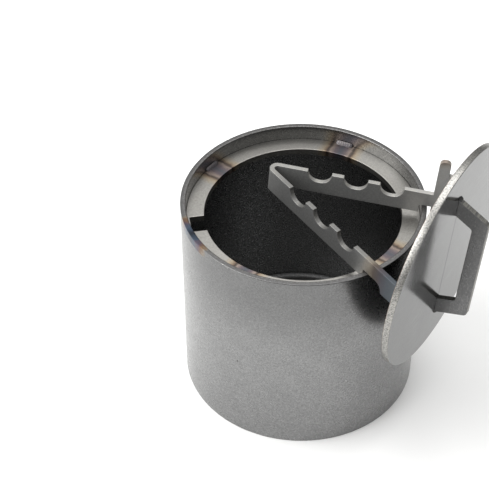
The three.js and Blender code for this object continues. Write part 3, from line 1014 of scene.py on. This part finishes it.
@dataclass
class Lid:
    """The disc lid with its rest strip and grip. Sizes are in mm, in the lid's own frame.

    That frame has X out of the disc's face, Y across it and Z up it, from the face's centre.
    """

    radius: float = 41.7
    thickness: float = 2.4
    sag_degrees: float = 4.6
    strip_thickness: float = 1.8
    strip_top: float = 3.9
    strip_bottom: float = -5.4
    strip_reach: float = 69.5
    half_angle_degrees: float = 20.56
    bend_inner_radius: float = 1.15
    notch_radius: float = 4.35
    notch_pitch: float = 13.15
    notch_to_saddle: float = 6.2
    saddle_to_disc: float = 19.9
    saddle_depth: float = 3.5
    near_saddle: float = 9.3
    near_saddle_radius: float = 3.2
    far_saddle: float = 4.3
    shelf_height: float = 9.7
    finger_height: float = 15.9
    finger_width: float = 4.0
    handle_length: float = 54.4
    handle_height: float = 11.9
    handle_thickness: float = 2.0
    handle_setback: float = 5.2
    handle_leg: float = 7.0
    handle_bar: float = 5.3
    handle_outer_rounding: float = 2.0
    handle_inner_rounding: float = 1.4
    handle_edge: float = 0.16
    strip_edge: float = 0.15
    disc_edge: float = 0.22
    strip_bead_leg: float = 2.1
    strip_bead_inset: float = 1.9
    strip_bead_pitch: float = 0.9
    grip_bead_leg: float = 1.1
    grip_bead_pitch: float = 0.7

    @property
    def half_angle(self) -> float:
        """Half the angle between the strip's arms, in radians."""
        return math.radians(self.half_angle_degrees)

    @property
    def bend_radius(self) -> float:
        """The bend's radius at the strip's mid-surface."""
        return self.bend_inner_radius + self.strip_thickness / 2

    @property
    def bend_centre(self) -> float:
        """X of the bend's centre."""
        return -self.thickness - self.strip_reach + self.bend_inner_radius + self.strip_thickness

    @property
    def apex(self) -> float:
        """X of the point where the arms' mid-lines would meet."""
        return self.bend_centre - self.bend_radius / math.sin(self.half_angle)

    @property
    def bend_half(self) -> float:
        """Half the bend's length along the mid-surface."""
        return self.bend_radius * (math.pi / 2 - self.half_angle)

    def unrolled(self, from_apex: float) -> float:
        """Distance along the flat strip from its tip, for a distance from the apex along an arm."""
        return from_apex - self.bend_radius / math.tan(self.half_angle) + self.bend_half

    def place(self, points: np.ndarray) -> np.ndarray:
        """Places the lid parked and sagging, with its disc in the middle of the CAD disc's box.

        Args:
            points: lid coordinates in mm.

        Returns:
            Points in metres in the row frame.
        """
        low, high = (np.array(corner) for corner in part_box("lid_disc"))
        sag = math.radians(self.sag_degrees)
        out, up = [math.cos(sag), 0.0, math.sin(sag)], [-math.sin(sag), 0.0, math.cos(sag)]
        turn = np.array([out, [0.0, 1.0, 0.0], up])
        middle = np.array([-self.thickness / 2, 0.0, 0.0])
        return (low + high) / 2 + (points - middle) @ turn.T * MM

    def on_strip(self, points: np.ndarray) -> np.ndarray:
        """Bends flat strip coordinates round the tip.

        With u along the strip, v up it and w out of it, the angle round the bend is
        f = u / R held to the bend, the rest of u runs on straight, and the point is
        centre + (R + w) * (-cos f, sin f) + rest * (sin f, cos f).

        Args:
            points: u, v, w in mm.

        Returns:
            Points in metres in the row frame.
        """
        u, v, w = points.T
        limit = math.pi / 2 - self.half_angle
        end = self.unrolled(self.arm_length)
        near_end = np.clip((np.abs(u) - (end - 4.0)) / 4.0, 0.0, 1.0)
        u = u + np.sign(u) * w * math.tan(self.half_angle) * near_end
        angle = np.clip(u / self.bend_radius, -limit, limit)
        rest = u - angle * self.bend_radius
        reach = self.bend_radius + w
        x = self.bend_centre - reach * np.cos(angle) + np.abs(rest) * math.cos(self.half_angle)
        y = reach * np.sin(angle) + rest * math.sin(self.half_angle)
        return self.place(np.stack([x, y, v], axis=1))

    @property
    def arm_length(self) -> float:
        """Length of an arm from the apex to just inside the disc's back."""
        return (-self.thickness + 0.04 - self.apex) / math.cos(self.half_angle)

    @property
    def saddle_start(self) -> float:
        """Distance from the apex to the saddles' inner shoulders."""
        return (-self.thickness - self.apex) / math.cos(self.half_angle) - self.saddle_to_disc

    def strip(self) -> bpy.types.Object:
        """Makes the rest strip from its flat pattern, bent round the tip.

        Returns:
            The strip.
        """
        top, bottom, r = self.strip_top, self.strip_bottom, self.notch_radius
        end, saddle = self.unrolled(self.arm_length), self.unrolled(self.saddle_start)
        roof = bottom + self.saddle_depth
        last = saddle - self.notch_to_saddle - r
        notches = [last - k * self.notch_pitch for k in range(3)]
        far_out, near_out = saddle + self.far_saddle, saddle + self.near_saddle
        shelf, finger = top + self.shelf_height, top + self.finger_height
        half = self.finger_width / 2
        soft = 0.3
        columns = np.linspace(-self.bend_half, self.bend_half, 21)
        corners: list[Corner] = [
            (-end, bottom, 0.0),
            (-near_out, bottom, soft),
            (-near_out, roof, self.near_saddle_radius),
            (-saddle, roof, 0.2),
            (-saddle, bottom, soft),
            *((u, bottom, 0.0) for u in columns),
            (saddle, bottom, soft),
            (saddle, roof, 0.2),
            (far_out, roof, 0.2),
            (far_out, bottom, soft),
            (end, bottom, 0.0),
            (end, shelf, 0.0),
            (far_out + self.finger_width, shelf, 0.8),
            (far_out + self.finger_width, finger, half * 0.9),
            (far_out, finger, half * 0.9),
            (far_out, top, 0.3),
        ]
        for side in (1.0, -1.0):
            centres = notches if side > 0 else notches[::-1]
            corners += [] if side > 0 else [(u, top, 0.0) for u in columns[::-1]]
            for centre in centres:
                ahead, behind = side * centre + r, side * centre - r
                corners += [
                    (ahead, top, 0.25),
                    (ahead, top - r, r - 0.3),
                    (behind, top - r, r - 0.3),
                    (behind, top, 0.25),
                ]
        corners.append((-end, top, 0.0))
        outline = rounded_path(corners, 0.7)
        rows = np.linspace(bottom + 0.8, top - 0.8, 9)
        extra = np.stack(np.meshgrid(columns, rows), axis=-1).reshape(-1, 2)
        shell = cut_plate([outline], self.strip_thickness, self.strip_edge, self.on_strip, extra)
        return shell.to_piece("rest_bar", Body.LID, Slot.STRIP, "rest_strip")

    def disc(self) -> bpy.types.Object:
        """Makes the round plate from its section, turned about the lid's X axis.

        Returns:
            The disc.
        """
        r, t, e = self.radius, self.thickness, self.disc_edge
        bend = np.radians(np.linspace(0.0, 90.0, 5))
        upper = np.stack([r - e + e * np.sin(bend), -e + e * np.cos(bend)], axis=1)
        lower = np.stack([r - e + e * np.cos(bend), -t + e - e * np.sin(bend)], axis=1)
        flat = np.array([[0.0, 0.0], [r * 0.5, 0.0], [r - 0.6, 0.0]])
        section = np.concatenate([flat, upper, lower, flat[::-1] - [0.0, t]])
        cut = np.concatenate([np.zeros(3), np.sin(bend), np.cos(bend), np.zeros(3)])
        cut[cut < 0.1] = 0.0
        # the section is 3 points of the face, 5 and 5 round its two edges, and 3 of the back
        back = np.concatenate([np.zeros(8), np.sin(bend), np.zeros(3)])
        shell = lathe(section[::-1], TURN_STEPS, lambda p: self.place(p[:, [2, 0, 1]]), cut[::-1])
        shell.marks["back"] = np.repeat(back[::-1], TURN_STEPS)
        shell.marks["front"] = np.repeat(np.concatenate([np.zeros(13), np.ones(3)]), TURN_STEPS)
        return shell.to_piece("lid_plate", Body.LID, Slot.LID, "lid_disc")

    def handle(self) -> bpy.types.Object:
        """Makes the flat grip: a trapezoid with an opening, drawn as height along X and run along Y.

        Returns:
            The grip.
        """
        slant = self.handle_setback / self.handle_height
        half, height = self.handle_length / 2, self.handle_height
        inner, bar = half - self.handle_leg, height - self.handle_bar
        foot = -0.04
        corners: list[Corner] = [
            (foot, half, 0.0),
            (foot, inner, 0.0),
            (bar, inner - bar * slant, self.handle_inner_rounding),
            (bar, -inner + bar * slant, self.handle_inner_rounding),
            (foot, -inner, 0.0),
            (foot, -half, 0.0),
            (height, -half + height * slant, self.handle_outer_rounding),
            (height, half - height * slant, self.handle_outer_rounding),
        ]
        outline = rounded_path(corners, 0.8)
        shell = cut_plate(
            [outline], self.handle_thickness, self.handle_edge, lambda p: self.place(p[:, [0, 2, 1]])
        )
        return shell.to_piece("grip", Body.LID, Slot.PLATE, "handle_plate")

    def strip_bead(self, side: int) -> bpy.types.Object:
        """Makes the bead in the corner between one arm's inner face and the disc's back.

        Args:
            side: 1 for the far arm, -1 for the near one.

        Returns:
            The bead.
        """
        a = self.half_angle
        reach = (-self.thickness - self.apex) * math.tan(a)
        inner = side * (reach - self.strip_thickness / 2 / math.cos(a))
        low = self.strip_bottom + self.strip_bead_inset
        high = self.strip_top - self.strip_bead_inset
        shell = weld_bead(
            np.array([-self.thickness, inner, low]),
            np.array([-self.thickness, inner, high]),
            np.array([-math.cos(a), -side * math.sin(a), 0.0]),
            np.array([0.0, -float(side), 0.0]),
            self.strip_bead_leg,
            self.strip_bead_pitch,
            self.place,
        )
        label = "far" if side > 0 else "near"
        return shell.to_piece(f"strip_bead_{label}", Body.LID, Slot.WELD, f"strip_weld_{label}")

    def grip_bead(self, side: int) -> bpy.types.Object:
        """Makes the small bead across one end of the grip's foot.

        Args:
            side: 1 for the upper end, -1 for the lower one.

        Returns:
            The bead.
        """
        slope = math.atan2(self.handle_setback, self.handle_height)
        edge = side * self.handle_length / 2
        half = self.handle_thickness / 2
        shell = weld_bead(
            np.array([0.0, -half, edge]),
            np.array([0.0, half, edge]),
            np.array([0.0, 0.0, float(side)]),
            np.array([math.cos(slope), 0.0, -side * math.sin(slope)]),
            self.grip_bead_leg,
            self.grip_bead_pitch,
            self.place,
        )
        label = "upper" if side > 0 else "lower"
        return shell.to_piece(f"grip_bead_{label}", Body.LID, Slot.WELD, f"handle_weld_{label}")

    def build(self) -> dict[str, bpy.types.Object]:
        """Makes every piece of the lid.

        Returns:
            The pieces by name.
        """
        made = [self.disc(), self.strip(), self.handle()]
        made += [self.strip_bead(1), self.strip_bead(-1), self.grip_bead(1), self.grip_bead(-1)]
        return {piece.name: piece for piece in made}


# ---------------------------------------------------------------- studio


@dataclass
class Studio:
    """The pale floor, the soft lights and the camera. Lengths are in metres."""

    eye: tuple[float, float, float] = (0.1952, -0.3442, 0.4245)
    forward: tuple[float, float, float] = (-0.39646, 0.61895, -0.67800)
    roll: float = -0.0064
    lens: float = 106.77
    sky: float = 0.85
    floor_shade: str = "f6f6f5"
    sky_stops: tuple[Stop, ...] = ((0.0, "606060", 1.0), (0.3, "a4a4a4", 1.0), (0.7, "ffffff", 1.0))

    def floor(self) -> None:
        """Lays the pale floor."""
        mesh = bpy.data.meshes.new("floor")
        mesh.from_pydata([(-3, -3, 0), (3, -3, 0), (3, 3, 0), (-3, 3, 0)], [], [(0, 1, 2, 3)])
        floor = bpy.data.objects.new("floor", mesh)
        bpy.context.scene.collection.objects.link(floor)
        material = bpy.data.materials.new("matt_white_board")
        material.use_nodes = True
        shader = material.node_tree.nodes["Principled BSDF"]
        shader.inputs["Base Color"].default_value = linear(self.floor_shade)
        shader.inputs["Roughness"].default_value = 0.9
        shader.inputs["Specular IOR Level"].default_value = 0.2
        mesh.materials.append(material)

    def light(self, name: str, at: tuple[float, float, float], size: float, power: float) -> None:
        """Hangs one square soft light that faces the ashtray.

        Args:
            name: the light's name.
            at: where it hangs.
            size: the length of its side.
            power: its power in watts.
        """
        data = bpy.data.lights.new(name, "AREA")
        data.size, data.energy = size, power
        lamp = bpy.data.objects.new(name, data)
        lamp.location = at
        lamp.rotation_euler = (Vector((0, 0, 0.05)) - Vector(at)).to_track_quat("-Z", "Y").to_euler()
        bpy.context.scene.collection.objects.link(lamp)

    def camera(self) -> None:
        """Stands the camera at its place, level but for its roll."""
        forward = Vector(self.forward).normalized()
        data = bpy.data.cameras.new("camera")
        data.lens, data.sensor_width = self.lens, 36.0
        camera = bpy.data.objects.new("camera", data)
        level = forward.to_track_quat("-Z", "Y").to_matrix().to_4x4()
        camera.matrix_world = Matrix.Translation(self.eye) @ level @ Matrix.Rotation(self.roll, 4, "Z")
        bpy.context.scene.collection.objects.link(camera)
        bpy.context.scene.camera = camera

    def build(self) -> None:
        """Sets up floor, sky, lights and camera."""
        self.floor()
        world = bpy.data.worlds.new("sky")
        world.use_nodes = True
        tree = world.node_tree
        toward = add_node(tree, "TexCoord", output="Generated")
        upward = add_node(tree, "SeparateXYZ", (toward,)).node.outputs["Z"]
        shade = add_node(tree, "ValToRGB", (upward,), stops=self.sky_stops)
        background = tree.nodes["Background"]
        tree.links.new(shade, background.inputs["Color"])
        background.inputs["Strength"].default_value = self.sky
        bpy.context.scene.world = world
        self.light("key", (-0.62, -0.62, 0.75), 1.0, 14.0)
        self.light("top", (-0.2, 0.3, 1.3), 0.9, 8.0)
        self.camera()
        bpy.context.scene.view_settings.view_transform = "Standard"


def dress(pieces: dict[str, bpy.types.Object], finish: Steel, *names: str) -> None:
    """Gives a finish to the named pieces.

    Args:
        pieces: every piece by name.
        finish: the finish they share.
        *names: the pieces' names.
    """
    material = finish.build()
    for name in names:
        pieces[name].data.materials.append(material)


def main() -> None:
    """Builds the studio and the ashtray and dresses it."""
    Studio().build()
    cup, lid = Cup(), Lid()
    pieces = {**cup.build(), **lid.build()}
    tube = TubeSteel(
        "hot_rolled_tube_steel",
        "7b7b7b",
        "8d8d8d",
        "605e5c",
        0.28,
        grain_mm=0.7,
        cloud_share=0.2,
        bump_mm=0.0015,
    )
    ledge = LedgeSteel(
        "sheared_ledge_steel",
        "93918d",
        "a7a5a0",
        "8b8984",
        0.38,
        azimuths=cup.tint_azimuths,
        ridges=(1.0, 1.0, 0.1),
    )
    # the base and its seam get a plain mid-grey tone
    base = Steel("inside_base_steel", "7e7e7e", "868686", "808080", 0.5, bump_mm=0.002)
    sheet = LidSteel(
        "satin_lid_steel",
        "656565",
        "6a6a6a",
        "aaa8a3",
        0.14,
        0.34,
        grain_mm=0.4,
        bump_mm=0.001,
        ridge_mm=0.02,
    )
    strip = StripSteel(
        "flat_bar_steel", "8e8e8d", "a2a2a0", "9a9892", 0.42, metallic=0.6, ridges=(1.0, 0.1, 1.0)
    )
    grip = Steel("sheared_grip_steel", "606060", "6e6e6e", "908e88", 0.3, ridges=(1.0, 0.1, 1.0))
    tack = Steel("browned_tack_steel", "56545a", "6f6a68", "77716e", 0.5, grain_mm=0.4)
    bead = Steel("cooled_weld_steel", "3e4044", "55534f", "55534f", 0.5, grain_mm=0.4)
    dress(pieces, tube, "tube")
    dress(pieces, ledge, "ledge")
    dress(pieces, base, "base", "base_seam")
    dress(pieces, sheet, "lid_plate")
    dress(pieces, strip, "rest_bar")
    dress(pieces, grip, "grip")
    dress(pieces, tack, *[name for name in pieces if "tack" in name])
    dress(pieces, bead, *[name for name in pieces if "bead" in name])
    LOG.info("built %d pieces", len(pieces))


if __name__ == "__main__":
    main()
